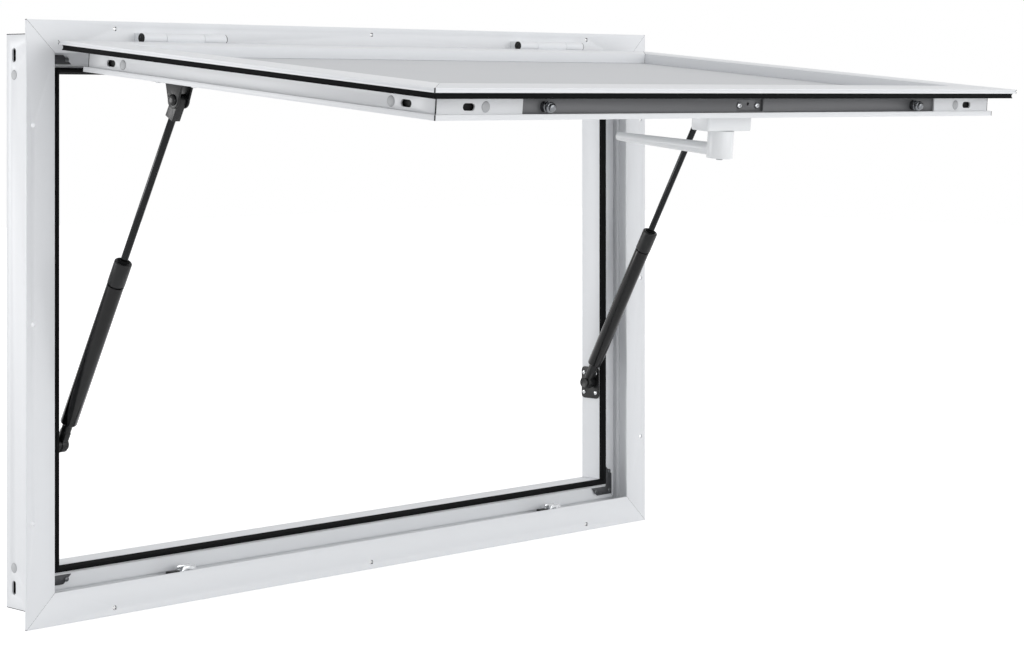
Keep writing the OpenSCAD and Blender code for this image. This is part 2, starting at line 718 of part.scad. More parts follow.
// The eye with its pin and post. The post stops short of the plate on the jamb, which is where
// the closed linkage is opened
module strut_eye(x, side) {
    post_end = strut_in - low_plate_t - low_gap;
    on_strut(x) translate([0, 0, -strut_len]) {
        rod_x(eye_r, eye_t);
        translate([-eye_t / 2, -neck_r, 0]) cube([eye_t, 2 * neck_r, (eye_l + eye_r) / 2]);
        translate([0, 0, eye_r]) cylinder(r = neck_r, h = eye_l - eye_r);
        translate([side * post_end / 2, 0, 0]) rod_x(post_r, post_end);
        translate([-side * (eye_t + low_head_t) / 2, 0, 0]) rod_x(low_head_r, low_head_t);
    }
}
module strut_rod_left() { color("dimgray") strut_rod(-strut_x); }
module strut_rod_right() { color("dimgray") strut_rod(strut_x); }
module strut_rod_end_left() { color("dimgray") strut_rod_end(-strut_x); }
module strut_rod_end_right() { color("dimgray") strut_rod_end(strut_x); }
module strut_tube_left() { color("dimgray") strut_tube(-strut_x); }
module strut_tube_right() { color("dimgray") strut_tube(strut_x); }
module strut_cap_left() { color("dimgray") strut_cap(-strut_x); }
module strut_cap_right() { color("dimgray") strut_cap(strut_x); }
module strut_eye_left() { color("dimgray") strut_eye(-strut_x, -1); }
module strut_eye_right() { color("dimgray") strut_eye(strut_x, 1); }

// Lower strut bracket: a rounded plate on the reveal of the jamb
module rounded(w, h, t, r) {
    translate([r, 0, 0]) cube([w - 2 * r, h, t]);
    translate([0, r, 0]) cube([w, h - 2 * r, t]);
    for (x = [r, w - r]) for (y = [r, h - r]) translate([x, y, 0]) cylinder(r = r, h = t);
}
module jamb_bracket(side) {
    depth = min(low_plate_w, frame_d - ledge_y - 2 * low_plate_in);
    translate([side * (full_w / 2 - reveal_in) - (side > 0 ? low_plate_t : 0),
        ledge_y + low_plate_in, low_at[1] - low_plate_dn])
        mirror([1, 0, 0]) rotate([0, -90, 0])
            rounded(low_plate_up + low_plate_dn, depth, low_plate_t, low_plate_r);
}
module strut_jamb_bracket_left() { color("dimgray") jamb_bracket(-1); }
module strut_jamb_bracket_right() { color("dimgray") jamb_bracket(1); }

// Lock: a flat bar behind the opening in the bottom rail, with two mushroom studs
bar_left = lock_win_x - lock_win_l / 2 - bar_over - lock_travel;
bar_right = lock_win_x + lock_win_l / 2 + bar_over;
module lock_bar() {
    color("dimgray") opened() translate([0, leaf_y, leaf_low]) difference() {
        translate([bar_left, bar_y0 + bar_play, bar_in])
            cube([bar_right - bar_left, bar_y1 - bar_y0 - 2 * bar_play, bar_t]);
        translate([drive_off - notch_w / 2, bar_y0, bar_in - over])
            cube([notch_w, bar_y1 - bar_y0 - bar_play - notch_rest, bar_t + 2 * over]);
    }
}
module drive_plate() {
    color("gray") opened()
        translate([drive_off - drive_w / 2, leaf_y + bar_y0 + bar_play, leaf_low + bar_in + bar_t])
            cube([drive_w, bar_y1 - bar_y0 - 2 * bar_play, drive_t]);
}
module lock_studs() {
    color("silver") opened() for (k = [-1, 1])
        translate([k * stud_x, stud_y, leaf_low + stud_end]) {
            cylinder(r = stud_head_r, h = stud_head_t);
            translate([0, 0, stud_head_t])
                cylinder(r = stud_r, h = bar_in - stud_end - stud_head_t);
        }
}

// Handle: a box on the inner face, a hub that turns in it and a tapered lever
handle_z = leaf_low + handle_s;
module handle_base() {
    color("white") opened() difference() {
        translate([-base_w / 2, leaf_back, handle_z + base_h / 2]) rotate([-90, 0, 0])
            rounded(base_w, base_h, base_t, base_r);
        translate([0, leaf_back + base_t - spindle_l, handle_z])
            rod_y(spindle_r + pin_play, spindle_l + over);
    }
}
hub_y = leaf_back + base_t + hub_gap;
module handle_lever() {
    lever_y = hub_y + hub_h - lever_in;
    color("white") opened() {
        translate([0, hub_y - spindle_l + hub_gap, handle_z]) rod_y(spindle_r, spindle_l + hub_gap);
        translate([0, hub_y, handle_z]) rod_y(hub_r, hub_h);
        translate([0, lever_y, handle_z])
            cylinder(r1 = lever_r, r2 = lever_tip_r, h = lever_l - lever_tip_r);
        translate([0, lever_y, handle_z + lever_l - lever_tip_r]) sphere(r = lever_tip_r);
    }
}
module handle_cap() {
    color("gray") opened() translate([0, hub_y + hub_h, handle_z]) rod_y(hub_cap_r, hub_cap_h);
}

frame_head();
frame_sill();
frame_jamb_left();
frame_jamb_right();
frame_seal();
corner_plates();
frame_plugs();
keeper_left();
keeper_right();
keeper_guides();
hinge_plate_left();
hinge_plate_right();
hinge_pin_left();
hinge_pin_right();
strut_jamb_bracket_left();
strut_jamb_bracket_right();
leaf_rail_top();
leaf_rail_bottom();
leaf_rail_left();
leaf_rail_right();
leaf_panel();
leaf_seal();
leaf_plugs();
hinge_knuckle_left();
hinge_knuckle_right();
strut_leaf_bracket_left();
strut_leaf_bracket_right();
strut_top_pins();
handle_base();
handle_lever();
handle_cap();
lock_bar();
lock_studs();
drive_plate();
strut_rod_left();
strut_rod_right();
strut_rod_end_left();
strut_rod_end_right();
strut_tube_left();
strut_tube_right();
strut_cap_left();
strut_cap_right();
strut_eye_left();
strut_eye_right();
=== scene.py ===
import bpy
import json
import math
from mathutils import Matrix, Vector

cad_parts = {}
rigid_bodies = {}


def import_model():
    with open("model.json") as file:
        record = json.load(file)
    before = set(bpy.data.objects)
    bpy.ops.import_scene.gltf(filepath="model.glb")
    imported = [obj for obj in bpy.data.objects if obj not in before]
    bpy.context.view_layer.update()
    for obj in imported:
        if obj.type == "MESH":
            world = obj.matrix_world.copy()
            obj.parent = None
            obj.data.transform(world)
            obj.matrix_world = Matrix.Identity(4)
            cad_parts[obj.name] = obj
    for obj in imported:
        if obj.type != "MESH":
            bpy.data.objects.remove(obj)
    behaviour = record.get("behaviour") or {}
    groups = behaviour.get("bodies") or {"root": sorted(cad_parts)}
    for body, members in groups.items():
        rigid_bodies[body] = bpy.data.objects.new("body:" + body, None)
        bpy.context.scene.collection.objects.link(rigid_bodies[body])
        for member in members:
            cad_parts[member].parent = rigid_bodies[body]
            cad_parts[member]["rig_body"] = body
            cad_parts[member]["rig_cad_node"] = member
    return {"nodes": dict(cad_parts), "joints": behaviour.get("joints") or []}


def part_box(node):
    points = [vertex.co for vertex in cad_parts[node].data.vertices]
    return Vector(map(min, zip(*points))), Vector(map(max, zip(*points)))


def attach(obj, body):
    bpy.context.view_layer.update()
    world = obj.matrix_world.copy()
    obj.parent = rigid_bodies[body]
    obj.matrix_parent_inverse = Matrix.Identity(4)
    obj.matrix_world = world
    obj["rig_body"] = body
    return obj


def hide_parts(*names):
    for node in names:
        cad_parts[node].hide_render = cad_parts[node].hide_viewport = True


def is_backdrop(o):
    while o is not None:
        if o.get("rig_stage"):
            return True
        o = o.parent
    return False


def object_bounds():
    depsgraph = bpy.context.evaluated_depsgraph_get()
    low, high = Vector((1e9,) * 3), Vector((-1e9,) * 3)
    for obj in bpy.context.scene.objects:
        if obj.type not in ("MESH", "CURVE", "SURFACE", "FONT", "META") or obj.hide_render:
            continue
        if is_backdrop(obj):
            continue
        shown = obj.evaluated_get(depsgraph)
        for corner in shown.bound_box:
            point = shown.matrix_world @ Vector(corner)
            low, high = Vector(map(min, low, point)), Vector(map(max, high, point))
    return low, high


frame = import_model()
cad_low, cad_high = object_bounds()
nodes = frame["nodes"]
mm = 0.001

# The viewpoint. The window is seen from outside, from its left, by a long lens held level a little
# below the open leaf. The shift puts the horizon high in the picture, as a view camera does.
bpy.ops.object.select_all(action="DESELECT")
camera_spot = (-1.9352, -2.2636, 0.5458)
camera_yaw = -46.797
bpy.ops.object.camera_add(location=camera_spot, rotation=(math.radians(90), 0, math.radians(camera_yaw)))
camera = bpy.context.object
camera.name = "product_camera"
camera.data.sensor_width = 36
camera.data.lens = 88.06
camera.data.shift_x = -0.1303
camera.data.shift_y = -0.2233
camera.data.clip_end = 60
bpy.context.scene.camera = camera
bpy.context.scene.view_settings.view_transform = "Standard"


def paint(code):
    """Turns a hex colour as a painter names it into the linear colour that the shader mixes."""
    parts = [int(code[i:i + 2], 16) / 255 for i in (1, 3, 5)]
    return tuple(p / 12.92 if p <= 0.04045 else ((p + 0.055) / 1.055) ** 2.4 for p in parts) + (1,)


def put(tree, kind, settings=(), links=()):
    """Adds one node. settings are (name, value) pairs, links are (own socket, other node, its socket)."""
    made = tree.nodes.new("ShaderNode" + kind)
    for name, value in settings:
        if not isinstance(name, int) and hasattr(made, name):
            setattr(made, name, value)
        else:
            made.inputs[name].default_value = value
    for own, other, theirs in links:
        tree.links.new(other.outputs[theirs], made.inputs[own])
    return made


# The studio: a white room whose light comes evenly from all round. What the camera sees behind the
# window is paper white, and so is what metal mirrors from there.
room = bpy.data.worlds.new("white_room")
bpy.context.scene.world = room
room.use_nodes = True
room.node_tree.nodes.clear()
rays = put(room.node_tree, "LightPath")
direct = put(room.node_tree, "Math", [("operation", "MAXIMUM")],
             [(0, rays, "Is Camera Ray"), (1, rays, "Is Transmission Ray")])
seen = put(room.node_tree, "Math", [("operation", "MAXIMUM")], [(0, direct, 0), (1, rays, "Is Glossy Ray")])
height = put(room.node_tree, "TexCoord")
upward = put(room.node_tree, "SeparateXYZ", [], [(0, height, "Generated")])
from_below, from_above = 0.62, 0.72
sky = put(room.node_tree, "MapRange",
          [("From Min", -1.0), ("From Max", 1.0), ("To Min", from_below), ("To Max", from_above)],
          [("Value", upward, "Z")])
glow = put(room.node_tree, "Background", [("Color", paint("#FDFDFF"))], [("Strength", sky, 0)])
paper = put(room.node_tree, "Background", [("Color", (1, 1, 1, 1)), ("Strength", 1.0)])
both = put(room.node_tree, "MixShader", [], [(0, seen, 0), (1, glow, 0), (2, paper, 0)])
put(room.node_tree, "OutputWorld", [], [("Surface", both, 0)])

# Three soft boxes: the key stands in front on the right and leaves the right jamb's rebate in shade. The
# second stands low behind on the left and lights the reveal through the opening. A narrow upright strip
# in front on the left lifts the handle. Each is given its place, its width and height, and its watts.
lit_spot = Vector((0, 0, 0.3))
for name, spot, width, height, watts in (("soft_box_key", (2.0, -6.0, 1.6), 4.5, 4.5, 105),
                                         ("soft_box_back", (-2.6, 2.6, 0.5), 1.4, 0.9, 34),
                                         ("strip_box", (-1.2, -5.0, 0.9), 0.25, 2.4, 22)):
    bpy.ops.object.light_add(type="AREA", location=spot)
    lamp = bpy.context.object
    lamp.name = name
    lamp.data.shape = "RECTANGLE"
    lamp.data.size = width
    lamp.data.size_y = height
    lamp.data.energy = watts
    lamp.visible_camera = False
    lamp.rotation_euler = (lit_spot - Vector(spot)).to_track_quat("-Z", "Y").to_euler()

# The floor is a sheet of white paper under the flange. It keeps the window's soft shadow.
floor_size = 14
floor_drop = 0.5 * mm
bpy.ops.mesh.primitive_plane_add(size=floor_size, location=(0, 0, cad_low.z - floor_drop))
floor = bpy.context.object
floor.name = "floor"
floor_paper = bpy.data.materials.new("floor_paper")
floor_paper.use_nodes = True
tree = floor_paper.node_tree
tree.nodes.clear()
diffuse = put(tree, "BsdfDiffuse", [("Color", paint("#F4F4F4"))])
rays = put(tree, "LightPath")
seen = put(tree, "Math", [("operation", "MAXIMUM")], [(0, rays, "Is Camera Ray"), (1, rays, "Is Glossy Ray")])
paper_lift = 0.55
lift = put(tree, "Math", [("operation", "MULTIPLY"), (1, paper_lift)], [(0, seen, 0)])
shine = put(tree, "Emission", [("Color", (1, 1, 1, 1))], [("Strength", lift, 0)])
total = put(tree, "AddShader", [], [(0, diffuse, 0), (1, shine, 0)])
put(tree, "OutputMaterial", [], [("Surface", total, 0)])
floor.data.materials.append(floor_paper)
floor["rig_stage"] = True


# The four sides of the frame: extruded aluminium with a hollow box behind the flange, cut at 45
# degrees, crimped on cleats at the corners and powder coated white. The saw leaves a hairline in
# each corner, and the coating rounds every edge a little.
def surface(name, code, rough, metal=0.0, grain=0.0, size=1.0, cloud=0.0, patch=110.0, shine=0.5):
    """A finish: colour, roughness, metal, the height and the size of its grain in mm, how much its tone
    varies from patch to patch, the size of a patch in mm, and its specular level."""
    skin = bpy.data.materials.new(name)
    skin.use_nodes = True
    tree = skin.node_tree
    tree.nodes.clear()
    shader = put(tree, "BsdfPrincipled", [("Base Color", paint(code)), ("Roughness", rough), ("Metallic", metal),
                                     ("Specular IOR Level", shine)])
    where = put(tree, "TexCoord")
    if grain:
        peel = put(tree, "TexNoise", [("Scale", 1 / (size * mm)), ("Detail", 2.0)], [("Vector", where, "Object")])
        bump = put(tree, "Bump", [("Strength", 0.6), ("Distance", grain * mm)], [("Height", peel, 0)])
        tree.links.new(bump.outputs[0], shader.inputs["Normal"])
    if cloud:
        drift = put(tree, "TexNoise", [("Scale", 1 / (patch * mm)), ("Detail", 3.0)],
                    [("Vector", where, "Object")])
        light = put(tree, "MapRange", [("To Min", 1 - cloud), ("To Max", 1 + cloud)], [("Value", drift, 0)])
        tint = put(tree, "HueSaturation", [("Color", paint(code))], [("Value", light, 0)])
        tree.links.new(tint.outputs[0], shader.inputs["Base Color"])
        gloss = put(tree, "MapRange", [("To Min", rough * 0.9), ("To Max", rough * 1.1)], [("Value", drift, 0)])
        tree.links.new(gloss.outputs[0], shader.inputs["Roughness"])
    put(tree, "OutputMaterial", [], [("Surface", shader, 0)])
    return skin


def hold(piece):
    """Leaves one piece selected and active, in object mode."""
    bpy.ops.object.select_all(action="DESELECT")
    piece.select_set(True)
    bpy.context.view_layer.objects.active = piece


def break_edges(piece, width, steps=2, above=30):
    """Rounds the edges that are sharper than an angle. The width is that of the edge on the real piece."""
    hold(piece)
    edge = piece.modifiers.new("broken_edge", "BEVEL")
    edge.width = width
    edge.segments = steps
    edge.limit_method = "ANGLE"
    edge.angle_limit = math.radians(above)
    bpy.ops.object.modifier_apply(modifier=edge.name)


def settle(piece, name, body, slot, skin, *stands_for):
    """Names a finished piece, puts its place into its mesh, and gives it its finish and its body."""
    hold(piece)
    bpy.ops.object.transform_apply(location=True, rotation=True, scale=True)
    bpy.ops.object.shade_smooth_by_angle(angle=math.radians(48))
    piece.name = name
    piece.data.materials.clear()
    piece.data.materials.append(skin)
    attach(piece, body)
    if stands_for:
        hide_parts(*stands_for)
    return piece


def merged_copy(node):
    """A copy of a CAD node as one clean skin, ready to be worked on."""
    hold(nodes[node])
    bpy.ops.object.duplicate()
    piece = bpy.context.object
    del piece["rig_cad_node"]
    bpy.ops.object.mode_set(mode="EDIT")
    bpy.ops.mesh.customdata_custom_splitnormals_clear()
    bpy.ops.mesh.select_all(action="SELECT")
    bpy.ops.mesh.remove_doubles(threshold=0.005 * mm)
    bpy.ops.mesh.dissolve_limited(angle_limit=math.radians(0.5))
    bpy.ops.object.mode_set(mode="OBJECT")
    return piece


def softened(node, width, slot, skin, steps=2):
    """A CAD node with its edges broken, as the press, the saw and the coating leave them."""
    piece = merged_copy(node)
    break_edges(piece, width, steps)
    return settle(piece, node + "_finished", piece["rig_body"], slot, skin, node)


# Powder coat: satin, slightly cold white, with an orange peel of about 1.6 mm that softens what it
# mirrors.
white_powder_coat = surface("white_powder_coat", "#E8EAEC", 0.42, grain=0.02, size=1.6, cloud=0.012)
coat_edge = 0.3 * mm


def pick(piece, test, kind="FACE"):
    """Opens a piece for editing with only the faces or edges selected that pass the test. The test gets
    the middle and the normal of a face, or the middle and the direction of an edge."""
    hold(piece)
    bpy.ops.object.mode_set(mode="EDIT")
    bpy.ops.mesh.select_mode(type=kind)
    bpy.ops.mesh.select_all(action="DESELECT")
    bpy.ops.object.mode_set(mode="OBJECT")
    mesh = piece.data
    if kind == "FACE":
        for face in mesh.polygons:
            face.select = test(face.center, face.normal)
    else:
        for edge in mesh.edges:
            start, end = (mesh.vertices[corner].co for corner in edge.vertices)
            edge.select = test((start + end) / 2, (end - start).normalized())
    bpy.ops.object.mode_set(mode="EDIT")


half_gap = 0.15 * mm


def mitre_shade_film(side, below, width, back=Matrix()):
    """A dark film on both mitre faces of a side, painted shade for the hairline gap of the mitre: how far it lies
    below the coat, and how wide its line is. back turns the side square to the axes, if it isn't."""
    film = merged_copy(side)
    film.matrix_world = back
    bpy.ops.object.transform_apply(location=True, rotation=True)
    pick(film, lambda spot, way: abs(way.x) > 0.6 and abs(way.z) > 0.6)
    bpy.ops.mesh.select_all(action="INVERT")
    bpy.ops.mesh.delete(type="FACE")
    bpy.ops.mesh.select_all(action="SELECT")
    bpy.ops.mesh.inset(thickness=below, use_boundary=True)
    bpy.ops.mesh.select_all(action="INVERT")
    bpy.ops.mesh.delete(type="FACE")
    bpy.ops.mesh.select_all(action="SELECT")
    bpy.ops.transform.shrink_fatten(value=half_gap - width / 2)
    bpy.ops.mesh.extrude_region_shrink_fatten(TRANSFORM_OT_shrink_fatten={"value": width})
    bpy.ops.mesh.select_all(action="SELECT")
    bpy.ops.mesh.normals_make_consistent(inside=False)
    bpy.ops.object.mode_set(mode="OBJECT")
    return film


# Mitre shade: a matt grey-black film a little below the coat in each mitre gap. It is painted shade that makes the
# hairline read dark.
mitre_gap_painted_shade = surface("mitre_gap_painted_shade", "#26272A", 0.8, grain=0.02, size=0.8, shine=0.2)
for side in ("frame_head", "frame_sill"):
    settle(mitre_shade_film(side, 0.04 * mm, 0.9 * mm), side + "_sealer", "frame", "black_rubber", mitre_gap_painted_shade)
for side in ("frame_head", "frame_sill", "frame_jamb_left", "frame_jamb_right"):
    softened(side, coat_edge, "white_coat", white_powder_coat)


# Corner cleats: die-cast angles inside the hollow sides, on which the corners are crimped. Their black is painted
# shade. One sees a little of them through the fixing slots, and the black stands in for the shade inside the hollow
# sides.
def cleat(leg, wide, deep):
    """An angle with its corner at the origin and its legs along x and z."""
    bpy.ops.object.select_all(action="DESELECT")
    bpy.ops.mesh.primitive_cube_add(size=1, location=(wide / 2, deep / 2, wide / 2), scale=(wide, deep, wide))
    angle = bpy.context.object
    bpy.ops.object.transform_apply(location=True, scale=True)
    pick(angle, lambda spot, way: way.x > 0.9)
    bpy.ops.mesh.extrude_region_move(TRANSFORM_OT_translate={"value": (leg - wide, 0, 0)})
    bpy.ops.object.mode_set(mode="OBJECT")
    pick(angle, lambda spot, way: way.z > 0.9 and spot.x < wide)
    bpy.ops.mesh.extrude_region_move(TRANSFORM_OT_translate={"value": (0, 0, leg - wide)})
    bpy.ops.object.mode_set(mode="OBJECT")
    pick(angle, lambda spot, way: way.y < -0.9)
    bpy.ops.mesh.inset(thickness=2.5 * mm)
    bpy.ops.mesh.extrude_region_move(TRANSFORM_OT_translate={"value": (0, deep / 2, 0)})
    bpy.ops.object.mode_set(mode="OBJECT")
    break_edges(angle, 0.5 * mm)
    return angle


def spread(master, places):
    """Copies a master to its places, each copy with its own mesh, and joins the copies into one piece."""
    copies = []
    for place in places:
        hold(master)
        bpy.ops.object.duplicate()
        copies.append(bpy.context.object)
        copies[-1].matrix_world = place
    bpy.data.objects.remove(master)
    bpy.ops.object.select_all(action="DESELECT")
    for copy in copies:
        copy.select_set(True)
    bpy.context.view_layer.objects.active = copies[0]
    bpy.ops.object.join()
    return bpy.context.object


def corner_places(low, high, inset, y):
    """The four corners of a rectangle, each turned so that an angle's legs run along its sides."""
    places = []
    for turn, x, z in ((0, low.x + inset, low.z + inset), (90, low.x + inset, high.z - inset),
                       (180, high.x - inset, high.z - inset), (270, high.x - inset, low.z + inset)):
        places.append(Matrix.Translation((x, y, z)) @ Matrix.Rotation(math.radians(turn), 4, "Y"))
    return places


# Cleat casting: black as painted shade for the dark inside of the hollow sides, rough as cast.
cleat_black_as_shade = surface("black_cleat_painted_shade", "#0E0E0F", 0.6, grain=0.05, size=1.2, shine=0.2)
low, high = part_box("frame_jamb_left")[0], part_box("frame_jamb_right")[1]
cleat_leg, cleat_wide, cleat_deep = 62 * mm, 20 * mm, 24 * mm
cleat_in, cleat_behind = 18.5 * mm, 31 * mm
settle(spread(cleat(cleat_leg, cleat_wide, cleat_deep), corner_places(low, high, cleat_in, cleat_behind)),
       "frame_corner_cleats", "frame", "black_plastic", cleat_black_as_shade)


# The frame seal: black foam rubber, glued on the ledge all round. A flat foot rises to a round bulb on
# which the leaf shuts.
# Foam rubber is matt, nearly black, and its cut cells give it a fine open grain.
foam_rubber = surface("black_foam_rubber", "#0E0F10", 0.85, grain=0.06, size=0.8, cloud=0.08, shine=0.12)
softened("frame_seal", 0.25 * mm, "black_rubber", foam_rubber)


# Corner plates: flat steel angles, stamped and zinc plated, which hold the mitres together on the
# ledge. Each has three pan head screws.
def turned(steps, sides=32):
    """A round piece about z, drawn out of a disc as on a lathe. Each step is a radius and its height."""
    radius, height = steps[0]
    bpy.ops.object.select_all(action="DESELECT")
    bpy.ops.mesh.primitive_circle_add(vertices=sides, radius=radius, fill_type="NGON", location=(0, 0, height))
    piece = bpy.context.object
    bpy.ops.object.mode_set(mode="EDIT")
    bpy.ops.mesh.select_mode(type="FACE")
    bpy.ops.mesh.select_all(action="SELECT")
    for wide, high in steps[1:]:
        bpy.ops.mesh.extrude_region_move(TRANSFORM_OT_translate={"value": (0, 0, high - height)})
        bpy.ops.transform.resize(value=(wide / radius, wide / radius, 1), center_override=(0, 0, high))
        radius, height = wide, high
    bpy.ops.mesh.select_all(action="SELECT")
    bpy.ops.mesh.normals_make_consistent(inside=False)
    bpy.ops.object.mode_set(mode="OBJECT")
    bpy.ops.object.transform_apply(location=True)
    return piece


def cut_away(piece, cutter):
    """Takes the cutter's shape out of the piece and throws the cutter away."""
    hold(piece)
    cut = piece.modifiers.new("cut", "BOOLEAN")
    cut.operation = "DIFFERENCE"
    cut.solver = "EXACT"
    cut.object = cutter
    bpy.ops.object.modifier_apply(modifier=cut.name)
    bpy.data.objects.remove(cutter)


def pan_screw(radius, height):
    """The head of a pan head screw, standing on z = 0: a low dome with a cross recess in it."""
    head = turned(((radius, -0.2 * mm), (radius, 0.4 * height), (0.92 * radius, 0.72 * height),
                   (0.72 * radius, 0.93 * height), (0.4 * radius, height)), 24)
    for turn in (0, 90):
        bpy.ops.object.select_all(action="DESELECT")
        bpy.ops.mesh.primitive_cube_add(size=1, location=(0, 0, height), rotation=(0, 0, math.radians(turn)),
                                        scale=(1.15 * radius, 0.26 * radius, height))
        cut_away(head, bpy.context.object)
    return head


def facing(spot, way, roll=0):
    """The place of a piece that is drawn standing on z: its foot on the spot, its axis along the way."""
    turn = Vector(way).to_track_quat("Z", "Y").to_matrix().to_4x4()
    return Matrix.Translation(spot) @ turn @ Matrix.Rotation(math.radians(roll), 4, "Z")


# Dark zinc: passivated in the barrel, so its tone changes from patch to patch by half.
dark_zinc = surface("dark_passivated_zinc", "#4B4C4E", 0.42, metal=0.6, grain=0.03, size=1.2, cloud=0.45, patch=5)
softened("corner_plates", 0.25 * mm, "dark_zinc", dark_zinc)
plates_low, plates_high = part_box("corner_plates")
arm_middle = 5 * mm
arm_reach = 30 * mm
# Dark screws: passivated like the plates, but turned and so a little brighter on their domes.
dark_screw = surface("dark_passivated_screw", "#707274", 0.32, metal=0.9, grain=0.003, size=0.8,
                     cloud=0.2, patch=2)
# Plated screws: bright, cold, a little blurred by the plating.
bright_zinc = surface("bright_plated_steel", "#C6C8CA", 0.2, metal=1.0, grain=0.003, size=0.8, cloud=0.03)
corner_screw_places = []
for x, way_x in ((plates_low.x, 1), (plates_high.x, -1)):
    for z, way_z in ((plates_low.z, 1), (plates_high.z, -1)):
        for along_x, along_z, roll in ((arm_middle, arm_middle, 20), (arm_reach, arm_middle, 65),
                                       (arm_middle, arm_reach, 40)):
            spot = (x + way_x * along_x, plates_low.y, z + way_z * along_z)
            corner_screw_places.append(facing(spot, (0, -1, 0), roll))
corner_screw_r, corner_screw_h = 2.6 * mm, 1.4 * mm
settle(spread(pan_screw(corner_screw_r, corner_screw_h), corner_screw_places),
       "corner_screws", "frame", "dark_zinc", dark_screw)

# Plugs in the frame: round caps of grey plastic, moulded and pressed flush into the holes through
# which the corners were crimped.
# Moulded plastic: even grey with a fine spark-eroded grain.
grey_plastic = surface("grey_moulded_plastic", "#B9BBBD", 0.5, grain=0.01, size=0.6, cloud=0.02)
softened("frame_plugs", 0.25 * mm, "grey_plastic", grey_plastic)

# Keepers: folded from bright plated sheet and riveted to the sill, each behind a guide block of black
# plastic. The studs of the lock slide into them.
# Black plastic: moulded, a soft shine, lighter where the light grazes its grain.
black_plastic = surface("black_moulded_plastic", "#151617", 0.4, grain=0.01, size=0.5, cloud=0.06, shine=0.3)
softened("keeper_left", 0.2 * mm, "bright_steel", bright_zinc)
softened("keeper_right", 0.2 * mm, "bright_steel", bright_zinc)
softened("keeper_guides", 0.6 * mm, "black_plastic", black_plastic, steps=3)
rivet_places = []
for keeper in ("keeper_left", "keeper_right"):
    low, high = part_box(keeper)
    rivet_places.append(Matrix.Translation(((low.x + high.x) / 2, (low.y + high.y) / 2, low.z + 1.2 * mm)))
keeper_rivet = turned(((2.2 * mm, -0.2 * mm), (2.2 * mm, 0.2 * mm), (1.9 * mm, 0.6 * mm),
                       (1.2 * mm, 0.8 * mm)), 24)
settle(spread(keeper_rivet, rivet_places), "keeper_rivets", "frame", "bright_steel", bright_zinc)

# Hinges, the fixed half: two rolled knuckles on a plate, coated with the frame, a steel pin through
# them, and at each end a black cap that keeps the pin in.
softened("hinge_plate_left", coat_edge, "white_coat", white_powder_coat)
softened("hinge_plate_right", coat_edge, "white_coat", white_powder_coat)
# Oiled steel: dark, with a soft metal shine. Only a glimpse of it shows between two knuckles.
oiled_steel = surface("dark_oiled_steel", "#3A3A3B", 0.35, metal=0.8, cloud=0.1)
softened("hinge_pin_left", 0.4 * mm, "dark_steel", oiled_steel)
softened("hinge_pin_right", 0.4 * mm, "dark_steel", oiled_steel)
cap_places = []
for hinge in ("left", "right"):
    low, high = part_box("hinge_plate_" + hinge)
    pin_low, pin_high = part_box("hinge_pin_" + hinge)
    axis_y, axis_z = (pin_low.y + pin_high.y) / 2, (pin_low.z + pin_high.z) / 2
    cap_places.append(facing((low.x, axis_y, axis_z), (-1, 0, 0)))
    cap_places.append(facing((high.x, axis_y, axis_z), (1, 0, 0)))
hinge_cap = turned(((2.4 * mm, -1.8 * mm), (2.4 * mm, 0), (5.3 * mm, 0), (5.3 * mm, 0.8 * mm), (4.9 * mm, 1.2 * mm),
                    (3.6 * mm, 1.2 * mm), (3.3 * mm, 0.8 * mm), (2.5 * mm, 0.8 * mm), (2.2 * mm, 1.1 * mm)), 40)
settle(spread(hinge_cap, cap_places), "hinge_end_caps", "frame", "black_plastic", black_plastic)

# Lower strut brackets: black steel plates on the inner sides of the jambs, each held by four bright
# cross-recessed screws.
# Black coat: electro-dipped steel, satin, with faint flow marks.
black_coat = surface("black_dipped_steel", "#121314", 0.34, grain=0.01, size=1.0, cloud=0.06, shine=0.3)
screw_in_y = 5 * mm
screw_in_z = 7.7 * mm
bracket_screw_places = []
for side, way in (("left", 1), ("right", -1)):
    bracket = "strut_jamb_bracket_" + side
    softened(bracket, 0.4 * mm, "black_steel", black_coat)
    low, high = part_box(bracket)
    face_x = high.x if way > 0 else low.x
    for y, roll in ((low.y + screw_in_y, 15), (high.y - screw_in_y, 50)):
        for z in (low.z + screw_in_z, high.z - screw_in_z):
            bracket_screw_places.append(facing((face_x, y, z), (way, 0, 0), roll))
bracket_screw_r, bracket_screw_h = 2.7 * mm, 1.3 * mm
settle(spread(pan_screw(bracket_screw_r, bracket_screw_h), bracket_screw_places),
       "bracket_screws", "frame", "bright_steel", bright_zinc)


# The leaf: four rails like those of the frame, with a rim that laps over the frame. All the pieces on
# it are drawn with the leaf shut and then swung open about the hinge.
leaf_joint = next(joint for joint in frame["joints"] if joint["name"] == "leaf_hinge")
hinge_line = Vector(leaf_joint["pos_m"])
swing = (Matrix.Translation(hinge_line) @ Matrix.Rotation(-math.radians(leaf_joint["range_deg"][1]), 4, "X")
         @ Matrix.Translation(-hinge_line))


def shut_box(node):
    """The lowest and the highest corner that a node of the leaf has while the leaf is shut."""
    spots = [swing.inverted() @ corner.co for corner in nodes[node].data.vertices]
    return [Vector([end(spot[axis] for spot in spots) for axis in range(3)]) for end in (min, max)]


def swung(piece):
    """Swings a piece that was drawn with the leaf shut to where it is on the open leaf."""
    hold(piece)
    bpy.ops.object.transform_apply(location=True, rotation=True, scale=True)
    piece.matrix_world = swing
    return piece
